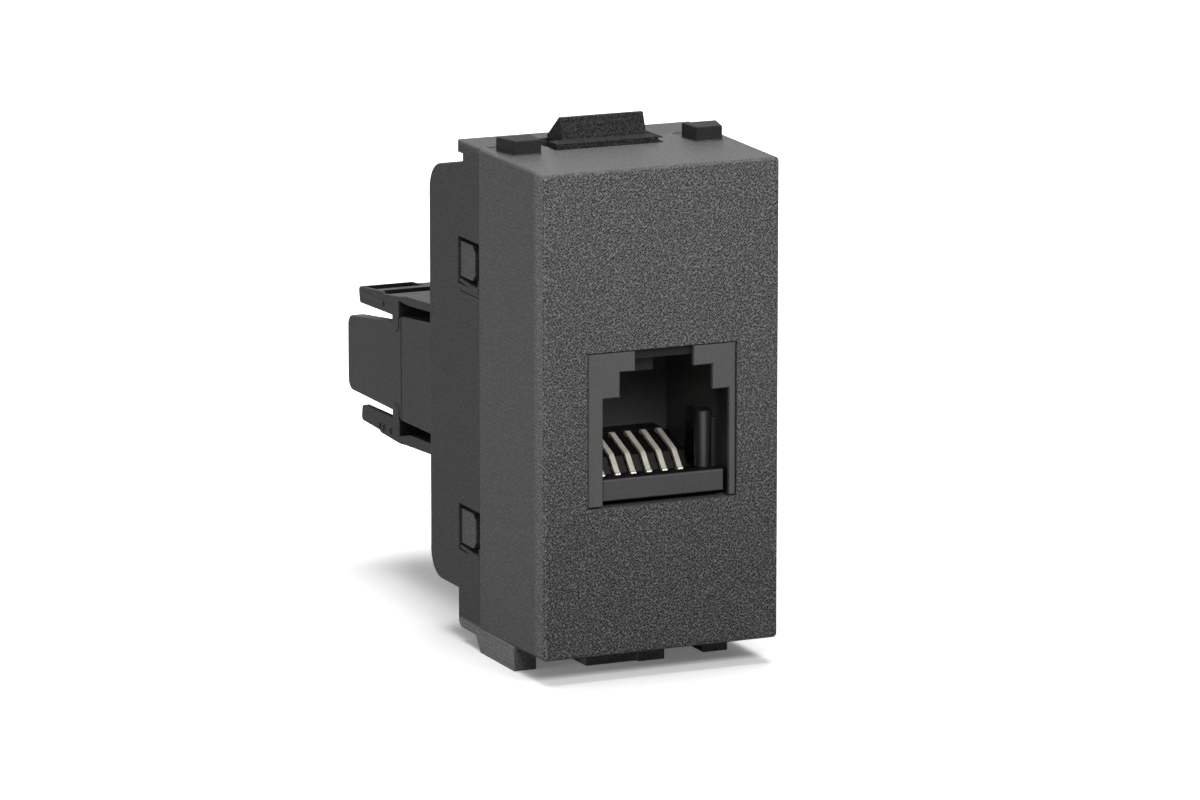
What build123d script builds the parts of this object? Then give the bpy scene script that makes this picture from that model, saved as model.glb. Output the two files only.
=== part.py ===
from build123d import *
import os
from typing import NamedTuple

# One-module telephone socket that snaps into a 45 mm mounting frame.
# Millimetres. X runs to the right, Y to the rear and Z up. The origin is the centre of the
# front face. Heights are written above the lower front edge of the cover, and level() turns
# a height into Z. Depths are measured from the front face.

# Front cover: a moulded cap, open behind, that flares a little towards its rear edge
COVER_WIDTH = 23.5
COVER_HEIGHT = 45.0
COVER_DEPTH = 14.5
COVER_SIDE_FLARE = 0.12
COVER_TOP_FLARE = 0.18
COVER_BOTTOM_FLARE = 0.35
COVER_WALL = 1.4
COVER_FRONT_WALL = 1.8
COVER_EDGE_RADIUS = 0.4
JACK_WINDOW_CLEARANCE = 0.12

# Four snap arms of the cover, whose lugs show in the side windows of the frame
ARM_THICKNESS = 1.0
ARM_HEIGHT = 3.3
ARM_CLEARANCE = 0.35
UPPER_ARM_LEVEL = 34.05
LOWER_ARM_LEVEL = 8.75
LUG_SETBACK = 1.45
LUG_LENGTH = 3.35
LUG_CORNER = 0.6
LUG_SINK = 0.15
WINDOW_BELOW = 2.35
WINDOW_ABOVE = 2.1
WINDOW_REAR_GAP = 0.35
WINDOW_RIB = 0.25
SCORE_BELOW = 0.7
SCORE_REAR = 18.95
SCORE_RISE = 0.4
SCORE_WIDTH = 0.16
SCORE_SINK = 0.15

# Rear frame: flange, inner sleeve and rear box in one moulding
SEAM = 0.1
FRAME_PROUD = 0.05
FRAME_WALL = 1.4
FRAME_EDGE = 0.2
FLANGE_DEPTH = 5.1
FLANGE_TOP_PROUD = 0.15
FLANGE_PLATE = 1.2
FLANGE_BOTTOM = -1.0
FLANGE_TOE = 0.2
BOX_DEPTH = 11.9
BOX_NECK_SETBACK = 1.15
BOX_TOP_DROP = 1.7
BOX_TOP_FALL = 1.57
BOX_BOTTOM = 2.65
BOX_WALL = 1.2
BOX_TOP_RADIUS = 2.8
BOX_BOTTOM_RADIUS = 2.5
BOX_TOE_RADIUS = 0.75
SLEEVE_CLEARANCE = 0.15
SLEEVE_WALL = 1.0
SLEEVE_FRONT_GAP = 0.4
SLEEVE_RADIUS = 0.8
BULKHEAD_DEPTH = 12.6
BULKHEAD_THICKNESS = 1.4
BULKHEAD_MARGIN = 1.9
REAR_OPENING_SIDE = 0.8
REAR_OPENING_TOP = 5.6
REAR_OPENING_BOTTOM = 3.8
CATCH_HEIGHT = 4.0
CATCH_REACH = 0.3

# Feet under the cover, as (left, right, front depth), and their common section
FOOT_PROUD = 0.1
FEET = [(-COVER_WIDTH / 2 - FOOT_PROUD, -9.65, 6.7), (-5.0, 0.1, 5.9), (0.1, 2.76, 5.5), (7.05, 9.5, 6.2)]
FOOT_BOTTOM = -2.35
FOOT_TOP = -0.5
FOOT_ROOT = 1.0

# Locating nubs on top
NUB_FRONT_DEPTH = 9.56
NUB_REAR_DEPTH = 12.34
NUB_FRONT_INNER = 7.8
NUB_FRONT_OUTER = 10.38
NUB_REAR_INNER = 7.57
NUB_REAR_OUTER = 11.06
NUB_TOP_PROUD = 1.5
NUB_CLEARANCE = 0.06
NUB_EDGE = 0.12

# Top latch: a tongue in the roof of the sleeve that carries a strip and a wedge
TONGUE_WIDTH = 8.4
TONGUE_THICKNESS = 0.8
TONGUE_PIVOT_DEPTH = 4.3
TONGUE_REAR_DEPTH = 15.0
TONGUE_SIDE_GAP = 0.2
TONGUE_SEAT_GAP = 0.05
WEDGE_WIDTH = 8.4
WEDGE_FRONT_DEPTH = 12.6
WEDGE_RIDGE_DEPTH = 13.5
WEDGE_RIDGE_LAND = 0.35
WEDGE_REAR_DEPTH = 16.6
WEDGE_BASE_PROUD = 0.2
WEDGE_REAR_PROUD = 0.5
WEDGE_RIDGE_PROUD = 2.6
WEDGE_STEM_WIDTH = 6.8
WEDGE_EDGE = 0.1
STRIP_LEFT = -5.7
STRIP_RIGHT = 4.5
STRIP_FRONT_DEPTH = 10.8
STRIP_DEPTH = 1.7
STRIP_PROUD = 0.7
STRIP_THICKNESS = 0.95
LATCH_OPENING_GAP = 0.15
LATCH_OPENING_RIGHT = 5.05
LATCH_OPENING_WIDE = 12.0
LATCH_OPENING_WIDE_DEPTH = 12.8
LATCH_OPENING_REAR_DEPTH = 17.1

# Jack housing: the arch that fills the window of the cover, and its deep socket
INSERT_CENTRE = 0.035
INSERT_WIDTH = 14.73
INSERT_BOTTOM = 13.93
INSERT_HEIGHT = 14.23
INSERT_SINK = 0.1
INSERT_PLATE = 0.65
SOCKET_CENTRE = 0.48
SOCKET_WIDTH = 12.67
SOCKET_DEPTH = 14.0
SOCKET_ROOF = 0.86
SHOULDER_DROP = 4.2
SHOULDER_WIDTH = 1.68
KEYWAY_DROP = 1.85
KEYWAY_CENTRE = 0.29
KEYWAY_WIDTH = 5.87
STOP_WIDTH = 2.6
STOP_HEIGHT = 1.4
STOP_DEPTH = 2.0
STOP_LENGTH = 2.5
HOUSING_REAR_WALL = 1.5
HOUSING_FLANGE_GAP = 0.7
HOUSING_FLANGE_RISE = 1.13
HOUSING_EDGE = 0.1
BULKHEAD_CLEARANCE = 0.1
SEAT_GAP = 0.05

# Contact carrier and its six sprung contacts
CONTACT_COUNT = 6
CONTACT_PITCH = 1.575
CONTACT_CENTRE = 0.34
CONTACT_WIDTH = 0.5
CONTACT_THICKNESS = 0.3
CONTACT_BEND_RADIUS = 0.6
CONTACT_ROOT = (5.5, 15.5)
CONTACT_KNEE = (6.9, 17.05)
CONTACT_TIP = (10.3, 18.3)
CONTACT_TAIL = (10.6, 17.9)
CONTACT_BEAD = 0.25
CONTACT_BEAD_GAP = 0.05
COMB_SLOT_CLEARANCE = 0.15
COMB_TRAVEL = 0.6
COMB_SHY = 0.1
LIP_RIGHT_GAP = 0.54
LIP_BOTTOM = 14.4
LIP_TOP = 16.35
LIP_DEPTH = 1.6
LIP_SINK = 0.15
CARRIER_BOTTOM = 14.0
CARRIER_FLOOR = 15.5
CARRIER_SIDE_FLOOR = 15.75
CARRIER_PLATEAU = 18.1
LEAD_THICKNESS = 0.3
LEAD_WIDTH = 0.5
LEAD_LEVEL = 14.7
LEAD_CLEARANCE = 0.1
LEAD_RISE = 1.7

# Plug guides on the side walls of the socket
GUIDE_BEAD_RADIUS = 0.85
GUIDE_BEAD_PROUD = 1.45
GUIDE_BEAD_DEPTH = 4.5
GUIDE_PAD_FRONT = 3.15
GUIDE_PAD_REAR = 8.9
GUIDE_PAD_TOP = 20.6
GUIDE_PAD_THICKNESS = 0.35
GUIDE_TOP = 21.2
GUIDE_BOTTOM = 15.85
GUIDE_EDGE = 0.15
GUIDE_PEG_RADIUS = 0.45
GUIDE_PEG_LENGTH = 0.4
GUIDE_PEG_GAP = 0.05

# Circuit board between the socket and the terminal block
BOARD_WIDTH = 13.2
BOARD_BOTTOM = 15.3
BOARD_TOP = 25.7
BOARD_THICKNESS = 1.55
BOARD_GAP = 0.05
BOARD_SIDE_GAP = 0.1

# Terminal block and its insulation-displacement terminals
BLOCK_WIDTH = 17.0
BLOCK_REAR_DEPTH = 41.4
BLOCK_TOP_REAR = 24.2
BLOCK_TOP_SLOPE = 0.1
BLOCK_BOTTOM_REAR = 14.0
BLOCK_BOTTOM_SLOPE = 0.017
BLOCK_EDGE = 0.2
NOTCH_DEPTH = 0.6
TERMINAL_PITCH = 2.4
TERMINAL_LEVEL = 19.2
PIN_RADIUS = 0.3
PIN_CLEARANCE = 0.06
BLADE_WIDTH = 1.6
BLADE_THICKNESS = 0.4
BLADE_START_DEPTH = 38.0
BLADE_REAR_DEPTH = 44.2
BLADE_CLEARANCE = 0.05
FORK_MOUTH = 0.9
FORK_MOUTH_DEPTH = 0.6
FORK_SLIT = 0.3
FORK_LENGTH = 2.4

# Wiring cap behind the terminal block
CAP_GAP = 0.05
CAP_WALL_DEPTH = 3.05
CAP_CROWN_DEPTH = 2.2
CAP_CROWN_TOP = 23.28
CAP_KEEL = 14.65
WING_THICKNESS = 1.3
WING_REAR_DEPTH = 54.9
WING_TOP_REAR = 21.95
WING_RADIUS = 1.1
CAP_EDGE = 0.15
TROUGH_FLOOR = 1.15
WIRE_SLOT_WIDTH = 1.2
WIRE_SLOT_DEPTH = 1.6
WIRE_SLOT_BOTTOM = 16.9
WIRE_SLOT_TOP = 21.3

# Four levers on the cap: a grip block behind the neck and a hooked strip in front of it
LEVER_INNER = 3.0
LEVER_PROUD = 0.05
LEVER_EDGE = 0.1
LEVER_NECK = 1.5
LEVER_NECK_SETBACK = 0.5
LEVER_NECK_INNER = 4.6
LEVER_PIVOT_INSET = 0.38
LEVER_SEAT_GAP = 0.06
LEVER_SWING_GAP = 0.12
LEVER_FRONT_DEPTH = 41.85
LEVER_STRIP_BEND_DEPTH = 40.2
LEVER_STRIP_ARCH_DEPTH = 39.4
LEVER_STEP = 0.3
LEVER_PAD_PROUD = 0.1
LEVER_TIP_LEAN = 0.25
LEVER_TIP_RADIUS = 0.4
LEVER_WALL = 0.65
LEVER_HOOK_DEPTH = 27.2
LEVER_HOOK_LENGTH = 1.0
LEVER_HOOK_GAP = 0.25

# Upper levers: depths of the pad and the tip, then heights from the hook back to the tip
UPPER_PAD_DEPTH = 45.65
UPPER_TIP_DEPTH = 51.95
UPPER_PLATE_END = 51.95
UPPER_HOLLOW = 0.7
UPPER_OUTER_HOOK = 27.3
UPPER_OUTER_BEND = 26.4
UPPER_OUTER_FRONT = 26.1
UPPER_OUTER_PAD = 25.68
UPPER_OUTER_STEP = 25.86
UPPER_OUTER_TIP = 25.32
UPPER_INNER_HOOK = 26.4
UPPER_INNER_ARCH = 25.6
UPPER_INNER_ROOT = 25.65
UPPER_INNER_FRONT = 24.05
UPPER_INNER_TIP = 23.72

# Lower levers: depths of the pad and the tip, then heights from the hook back to the tip
LOWER_PAD_DEPTH = 46.6
LOWER_TIP_DEPTH = 51.45
LOWER_PLATE_END = 50.0
LOWER_HOLLOW = 1.25
LOWER_OUTER_HOOK = 12.55
LOWER_OUTER_BEND = 11.85
LOWER_OUTER_FRONT = 11.7
LOWER_OUTER_PAD = 11.86
LOWER_OUTER_STEP = 12.07
LOWER_OUTER_TIP = 12.2
LOWER_INNER_HOOK = 13.5
LOWER_INNER_ARCH = 13.0
LOWER_INNER_ROOT = 12.4
LOWER_INNER_FRONT = 13.95
LOWER_INNER_TIP = 13.75

# Grip of the levers: two recesses and an ear on the upper ones, three side ribs on the lower ones
GRIP_RECESSES = [(44.8, 46.6), (48.0, 51.2)]
GRIP_RECESS_DEPTH = 0.55
GRIP_RIM = 0.25
EAR_INNER = 1.6
EAR_DEPTHS = (45.0, 49.8)
EAR_RISE = 0.22
EAR_THICKNESS = 0.9
GRIP_RIB_DEPTHS = (44.0, 45.7, 46.7)
GRIP_RIB_WIDTH = 0.22
GRIP_RIB_HEIGHT = 0.6
GRIP_RIB_RISE = 0.8
GRIP_RIB_PROUD = 0.12


class LeverShape(NamedTuple):
    """Depths of the pad, tip and plate of a lever, and the heights of its faces, hook to tip."""

    pad_depth: float
    tip_depth: float
    plate_end: float
    hollow: float
    outer_hook: float
    outer_bend: float
    outer_front: float
    outer_pad: float
    outer_step: float
    outer_tip: float
    inner_hook: float
    inner_arch: float
    inner_root: float
    inner_front: float
    inner_tip: float


UPPER_LEVER = LeverShape(
    UPPER_PAD_DEPTH,
    UPPER_TIP_DEPTH,
    UPPER_PLATE_END,
    UPPER_HOLLOW,
    UPPER_OUTER_HOOK,
    UPPER_OUTER_BEND,
    UPPER_OUTER_FRONT,
    UPPER_OUTER_PAD,
    UPPER_OUTER_STEP,
    UPPER_OUTER_TIP,
    UPPER_INNER_HOOK,
    UPPER_INNER_ARCH,
    UPPER_INNER_ROOT,
    UPPER_INNER_FRONT,
    UPPER_INNER_TIP,
)
LOWER_LEVER = LeverShape(
    LOWER_PAD_DEPTH,
    LOWER_TIP_DEPTH,
    LOWER_PLATE_END,
    LOWER_HOLLOW,
    LOWER_OUTER_HOOK,
    LOWER_OUTER_BEND,
    LOWER_OUTER_FRONT,
    LOWER_OUTER_PAD,
    LOWER_OUTER_STEP,
    LOWER_OUTER_TIP,
    LOWER_INNER_HOOK,
    LOWER_INNER_ARCH,
    LOWER_INNER_ROOT,
    LOWER_INNER_FRONT,
    LOWER_INNER_TIP,
)


def level(height):
    """Z of a height above the lower front edge of the cover."""
    return height - COVER_HEIGHT / 2


def outline(points, radii=0.0):
    """Face inside the closed outline through the points, with rounded corners if asked."""
    if radii == 0.0:
        return make_face(Polyline(*points, close=True))
    return make_face(FilletPolyline(*points, radius=radii, close=True))


def rectangle(first, second):
    """Corners of the rectangle between two pairs of limits."""
    return [(first[0], second[0]), (first[1], second[0]), (first[1], second[1]), (first[0], second[1])]


def across(x, points, radii=0.0):
    """Side outline of (depth, height) points, run across between two X limits."""
    face = outline([(depth, level(height)) for depth, height in points], radii)
    return extrude(Plane.YZ.offset(x[0]) * face, amount=x[1] - x[0], dir=(1, 0, 0))


def rearward(depth, points, radii=0.0):
    """Front outline of (x, height) points, run back between two depths."""
    face = outline([(x, level(height)) for x, height in points], radii)
    return extrude(Plane.XZ.offset(-depth[0]) * face, amount=depth[1] - depth[0], dir=(0, 1, 0))


def upward(height, points, radii=0.0):
    """Plan outline of (x, depth) points, run up between two heights."""
    face = outline(points, radii)
    return extrude(Plane.XY.offset(level(height[0])) * face, amount=height[1] - height[0], dir=(0, 0, 1))


def block(x, depth, height):
    """Solid between pairs of X limits, depths and heights."""
    return rearward(depth, rectangle(x, height))


def rod(x, centre, radius):
    """Round bar across X about a (depth, height) centre."""
    face = Plane.YZ.offset(x[0]) * Pos(centre[0], level(centre[1])) * Circle(radius)
    return extrude(face, amount=x[1] - x[0], dir=(1, 0, 0))


def pin(depth, centre, radius):
    """Round bar along the depth about an (x, height) centre."""
    face = Plane.XZ.offset(-depth[0]) * Pos(centre[0], level(centre[1])) * Circle(radius)
    return extrude(face, amount=depth[1] - depth[0], dir=(0, 1, 0))


def ribbon(x, path, radius, thickness):
    """Bent strip of one thickness along a (depth, height) path, run across X."""
    line = FilletPolyline(*[(depth, level(height)) for depth, height in path], radius=radius)
    face = trace(line, line_width=thickness)
    return extrude(Plane.YZ.offset(x[0]) * face, amount=x[1] - x[0], dir=(1, 0, 0))


def soften_sides(body, radius):
    """Body with the edges of its two outermost X faces rounded."""
    faces = body.faces().sort_by(Axis.X)
    return fillet(faces[0].edges() + faces[-1].edges(), radius)


def about(centre, half):
    """Limits of a span by its centre and half its width."""
    return (centre - half, centre + half)


# Places that follow from the sizes above
FLANGE_FRONT = COVER_DEPTH + SEAM
FLANGE_REAR = FLANGE_FRONT + FLANGE_DEPTH
FLANGE_TOP = COVER_HEIGHT + FLANGE_TOP_PROUD
BOX_REAR = FLANGE_FRONT + BOX_DEPTH
BOX_TOP = COVER_HEIGHT - BOX_TOP_DROP
FRAME_HALF = COVER_WIDTH / 2 + FRAME_PROUD
CAVITY_HALF = FRAME_HALF - FRAME_WALL
SLEEVE_HALF = COVER_WIDTH / 2 - COVER_WALL - SLEEVE_CLEARANCE
SLEEVE_BOTTOM = COVER_WALL + SLEEVE_CLEARANCE
SLEEVE_TOP = COVER_HEIGHT - COVER_WALL - SLEEVE_CLEARANCE + SEAM / 2
SLEEVE_FRONT = COVER_FRONT_WALL + SLEEVE_FRONT_GAP
BULKHEAD_REAR = BULKHEAD_DEPTH + BULKHEAD_THICKNESS
TONGUE_LEVEL = SLEEVE_TOP - SLEEVE_WALL / 2
INSERT_LEFT = INSERT_CENTRE - INSERT_WIDTH / 2
INSERT_RIGHT = INSERT_CENTRE + INSERT_WIDTH / 2
INSERT_TOP = INSERT_BOTTOM + INSERT_HEIGHT
SOCKET_LEFT = SOCKET_CENTRE - SOCKET_WIDTH / 2
SOCKET_RIGHT = SOCKET_CENTRE + SOCKET_WIDTH / 2
SOCKET_TOP = INSERT_TOP - SOCKET_ROOF
HOUSING_REAR = SOCKET_DEPTH + HOUSING_REAR_WALL
HOUSING_FLANGE_HALF = SLEEVE_HALF - SLEEVE_WALL - HOUSING_FLANGE_GAP
BOARD_FRONT = HOUSING_REAR + BOARD_GAP
BOARD_REAR = BOARD_FRONT + BOARD_THICKNESS
BLOCK_HALF = BLOCK_WIDTH / 2
CAP_FRONT = BLOCK_REAR_DEPTH + CAP_GAP
CAP_WALL_REAR = CAP_FRONT + CAP_WALL_DEPTH
PIVOT_DEPTH = CAP_FRONT + LEVER_NECK_SETBACK + LEVER_NECK / 2
PIVOT_SHARE = (PIVOT_DEPTH - CAP_FRONT) / CAP_CROWN_DEPTH
UPPER_PIVOT = BLOCK_TOP_REAR + PIVOT_SHARE * (CAP_CROWN_TOP - BLOCK_TOP_REAR) - LEVER_PIVOT_INSET
LOWER_PIVOT = BLOCK_BOTTOM_REAR + PIVOT_SHARE * (CAP_KEEL - BLOCK_BOTTOM_REAR) + LEVER_PIVOT_INSET
LUG_FRONT = COVER_DEPTH + LUG_SETBACK
LUG_REAR = LUG_FRONT + LUG_LENGTH
CONTACTS = [CONTACT_CENTRE + (i - (CONTACT_COUNT - 1) / 2) * CONTACT_PITCH for i in range(CONTACT_COUNT)]
TERMINALS = [(i - (CONTACT_COUNT - 1) / 2) * TERMINAL_PITCH for i in range(CONTACT_COUNT)]


def block_top(depth):
    """Height of the sloping top of the terminal block at a depth."""
    return BLOCK_TOP_REAR + BLOCK_TOP_SLOPE * (BLOCK_REAR_DEPTH - depth)


def block_bottom(depth):
    """Height of the sloping underside of the terminal block at a depth."""
    return BLOCK_BOTTOM_REAR + BLOCK_BOTTOM_SLOPE * (BLOCK_REAR_DEPTH - depth)


def cover_section(depth, inset=0.0):
    """Outline of the flaring cover at a depth, as a face across the depth."""
    share = depth / COVER_DEPTH
    half = COVER_WIDTH / 2 + COVER_SIDE_FLARE * share - inset
    bottom = inset - COVER_BOTTOM_FLARE * share
    top = COVER_HEIGHT + COVER_TOP_FLARE * share - inset
    corners = rectangle((-half, half), (level(bottom), level(top)))
    return Plane.XZ.offset(-depth) * outline(corners)


def nub_plan(side, grow=0.0):
    """Plan of one locating nub, narrower in front."""
    front = NUB_FRONT_DEPTH - grow
    rear = NUB_REAR_DEPTH
    return [
        (side * (NUB_FRONT_INNER - grow), front),
        (side * (NUB_FRONT_OUTER + grow), front),
        (side * (NUB_REAR_OUTER + grow), rear),
        (side * (NUB_REAR_INNER - grow), rear),
    ]


def nub_tongue(side, height, rear, grow=0.0):
    """Nub plan carried straight back to a depth, between two heights."""
    plan = nub_plan(side, grow)
    plan[3:3] = [(plan[2][0], rear), (plan[3][0], rear)]
    return upward(height, plan)


def latch_opening(height):
    """T-shaped opening of the top that the strip and wedge of the latch stand in."""
    narrow = block(
        (STRIP_LEFT - LATCH_OPENING_GAP, LATCH_OPENING_RIGHT),
        (STRIP_FRONT_DEPTH - LATCH_OPENING_GAP, LATCH_OPENING_WIDE_DEPTH + LATCH_OPENING_GAP),
        height,
    )
    wide = block(
        (-LATCH_OPENING_WIDE / 2, LATCH_OPENING_WIDE / 2),
        (LATCH_OPENING_WIDE_DEPTH, LATCH_OPENING_REAR_DEPTH),
        height,
    )
    return narrow + wide


def snap_arm(side, centre):
    """Flexible arm of the cover with its lug, on one side, about a height."""
    half = ARM_HEIGHT / 2
    inner = SLEEVE_HALF - ARM_THICKNESS
    lug_face = FRAME_HALF - LUG_SINK
    plan = [
        (side * inner, COVER_FRONT_WALL - COVER_EDGE_RADIUS),
        (side * SLEEVE_HALF, COVER_FRONT_WALL - COVER_EDGE_RADIUS),
        (side * SLEEVE_HALF, LUG_REAR),
        (side * inner, LUG_REAR),
    ]
    arm = upward((centre - half, centre + half), plan)
    pad = [
        (LUG_FRONT + LUG_CORNER, centre - half),
        (LUG_REAR, centre - half),
        (LUG_REAR, centre + half),
        (LUG_FRONT + LUG_CORNER, centre + half),
        (LUG_FRONT, centre + half - LUG_CORNER),
        (LUG_FRONT, centre - half + LUG_CORNER),
    ]
    lug = across(sorted((side * (inner + ARM_THICKNESS / 2), side * lug_face)), pad)
    return arm + lug


def front_cover():
    """Cap with the jack window, the rear-open notches of the top and four snap arms."""
    shell = loft([cover_section(0.0), cover_section(COVER_DEPTH)])
    outer_edges = [edge for edge in shell.edges() if edge.center().Y < COVER_DEPTH - COVER_EDGE_RADIUS]
    shell = fillet(outer_edges, COVER_EDGE_RADIUS)
    shell -= loft([cover_section(COVER_FRONT_WALL, COVER_WALL), cover_section(COVER_DEPTH, COVER_WALL)])
    window = rectangle(
        (INSERT_LEFT - JACK_WINDOW_CLEARANCE, INSERT_RIGHT + JACK_WINDOW_CLEARANCE),
        (INSERT_BOTTOM - JACK_WINDOW_CLEARANCE, INSERT_TOP + JACK_WINDOW_CLEARANCE),
    )
    shell -= rearward((-COVER_FRONT_WALL, 2 * COVER_FRONT_WALL), window)
    above = COVER_HEIGHT + COVER_WALL
    shell -= latch_opening((COVER_HEIGHT - 2 * COVER_WALL, above))
    for side in (-1, 1):
        shell -= nub_tongue(side, (SLEEVE_TOP - 2 * NUB_CLEARANCE, above), FLANGE_FRONT, NUB_CLEARANCE)
        for centre in (UPPER_ARM_LEVEL, LOWER_ARM_LEVEL):
            shell += snap_arm(side, centre)
    return shell


def frame_box():
    """Flange and rear box by their common side outline, hollow, with the rear opening."""
    neck = FLANGE_REAR - BOX_NECK_SETBACK
    outer = [
        (FLANGE_FRONT, FLANGE_TOP),
        (FLANGE_REAR, FLANGE_TOP),
        (FLANGE_REAR, FLANGE_TOP - FLANGE_PLATE),
        (neck, FLANGE_TOP - FLANGE_PLATE),
        (neck, BOX_TOP),
        (BOX_REAR, BOX_TOP - BOX_TOP_FALL),
        (BOX_REAR, BOX_BOTTOM),
        (FLANGE_REAR + FLANGE_TOE, BOX_BOTTOM),
        (FLANGE_REAR + FLANGE_TOE, FLANGE_BOTTOM),
        (FLANGE_FRONT, FLANGE_BOTTOM),
    ]
    outer_radii = [0, 0, 0, 0, 0, BOX_TOP_RADIUS, BOX_BOTTOM_RADIUS, 0, BOX_TOE_RADIUS, 0]
    body = soften_sides(across((-FRAME_HALF, FRAME_HALF), outer, outer_radii), FRAME_EDGE)
    front = FLANGE_FRONT + BOX_WALL
    rear = BOX_REAR - BOX_WALL
    toe = FLANGE_REAR + FLANGE_TOE - BOX_WALL
    inner = [
        (front, BOX_TOP - BOX_WALL),
        (neck, BOX_TOP - BOX_WALL),
        (rear, BOX_TOP - BOX_TOP_FALL - BOX_WALL),
        (rear, BOX_BOTTOM + BOX_WALL),
        (toe, BOX_BOTTOM + BOX_WALL),
        (toe, FLANGE_BOTTOM + BOX_WALL),
        (front, FLANGE_BOTTOM + BOX_WALL),
    ]
    inner_radii = [0, 0, BOX_TOP_RADIUS - BOX_WALL, BOX_BOTTOM_RADIUS - BOX_WALL, 0, 0, 0]
    body -= across((-CAVITY_HALF, CAVITY_HALF), inner, inner_radii)
    opening = rectangle(
        (-BLOCK_HALF - REAR_OPENING_SIDE, BLOCK_HALF + REAR_OPENING_SIDE),
        (BLOCK_BOTTOM_REAR - REAR_OPENING_BOTTOM, BLOCK_TOP_REAR + REAR_OPENING_TOP),
    )
    return body - rearward((rear - BOX_WALL, BOX_REAR + BOX_WALL), opening)


def frame_sleeve():
    """Sleeve inside the cover with its bulkhead, and the bore that runs through it."""
    outside = rectangle((-SLEEVE_HALF, SLEEVE_HALF), (SLEEVE_BOTTOM, SLEEVE_TOP))
    bore_half = SLEEVE_HALF - SLEEVE_WALL
    bore_side = (SLEEVE_BOTTOM + SLEEVE_WALL, SLEEVE_TOP - SLEEVE_WALL)
    bore = rearward((0.0, FLANGE_FRONT + 2 * BOX_WALL), rectangle((-bore_half, bore_half), bore_side))
    sleeve = rearward((SLEEVE_FRONT, FLANGE_FRONT + BOX_WALL), outside, SLEEVE_RADIUS)
    wall = block(
        (-bore_half - SLEEVE_WALL / 2, bore_half + SLEEVE_WALL / 2),
        (BULKHEAD_DEPTH, BULKHEAD_REAR),
        (INSERT_BOTTOM - BULKHEAD_MARGIN, INSERT_TOP + BULKHEAD_MARGIN),
    )
    wall -= block(
        (INSERT_LEFT - BULKHEAD_CLEARANCE, INSERT_RIGHT + BULKHEAD_CLEARANCE),
        (BULKHEAD_DEPTH - BULKHEAD_THICKNESS, BULKHEAD_REAR + BULKHEAD_THICKNESS),
        (INSERT_BOTTOM - BULKHEAD_CLEARANCE, INSERT_TOP + BULKHEAD_CLEARANCE),
    )
    return sleeve, bore, wall


def foot(left, right, front):
    """One foot under the cover, rooted in the flange with a sloping heel."""
    root = FLANGE_FRONT + FOOT_ROOT
    side = [
        (front, FOOT_TOP),
        (root, FOOT_TOP),
        (root, FLANGE_BOTTOM),
        (COVER_DEPTH, FOOT_BOTTOM),
        (front, FOOT_BOTTOM),
    ]
    return across((left, right), side)


def side_window(side, centre):
    """Cut for one lug: the window of the side wall and the slot of the sleeve before it."""
    outside = side * (FRAME_HALF + FRAME_WALL)
    inside = side * (SLEEVE_HALF - 2 * ARM_THICKNESS)
    window = block(
        sorted((inside, outside)),
        (COVER_DEPTH, LUG_REAR + WINDOW_REAR_GAP),
        (centre - WINDOW_BELOW, centre + WINDOW_ABOVE),
    )
    half = ARM_HEIGHT / 2 + ARM_CLEARANCE
    slot = block(sorted((inside, outside)), (0.0, FLANGE_FRONT + SEAM), (centre - half, centre + half))
    return window + slot


def window_rib(side, centre):
    """Thin curved rib along the lower edge of a side window, under the lug."""
    path = [
        (LUG_REAR, centre - ARM_HEIGHT / 2 - ARM_CLEARANCE),
        (LUG_FRONT + LUG_CORNER, centre - WINDOW_BELOW + WINDOW_RIB / 2),
        (FLANGE_FRONT + WINDOW_RIB, centre - WINDOW_BELOW + WINDOW_RIB / 2),
        (FLANGE_FRONT + WINDOW_RIB, centre - WINDOW_BELOW + 4 * WINDOW_RIB),
    ]
    rib = ribbon((FRAME_HALF - BOX_WALL, FRAME_HALF), path, WINDOW_RIB, WINDOW_RIB)
    return rib if side > 0 else mirror(rib, Plane.YZ)


def side_score(side):
    """Shallow L-shaped groove under an upper side window."""
    bottom = UPPER_ARM_LEVEL - WINDOW_BELOW - SCORE_BELOW
    x = sorted((side * (FRAME_HALF - SCORE_SINK), side * (FRAME_HALF + FRAME_WALL)))
    foot_line = block(x, (COVER_DEPTH, SCORE_REAR), (bottom, bottom + SCORE_WIDTH))
    return foot_line + block(x, (SCORE_REAR - SCORE_WIDTH, SCORE_REAR), (bottom, bottom + SCORE_RISE))


def catch(side):
    """Ramped catch inside the box that holds the flange of the jack housing."""
    reach = HOUSING_FLANGE_HALF - CATCH_REACH
    front = HOUSING_REAR + SEAT_GAP
    rear = front + 1.5 * BOX_WALL
    wall = CAVITY_HALF + FRAME_WALL / 2
    plan = [
        (side * wall, front),
        (side * reach, front),
        (side * reach, front + CATCH_REACH),
        (side * (reach + BOX_WALL), rear),
        (side * wall, rear),
    ]
    middle = INSERT_BOTTOM + INSERT_HEIGHT / 2
    return upward((middle - CATCH_HEIGHT / 2, middle + CATCH_HEIGHT / 2), plan)


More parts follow.
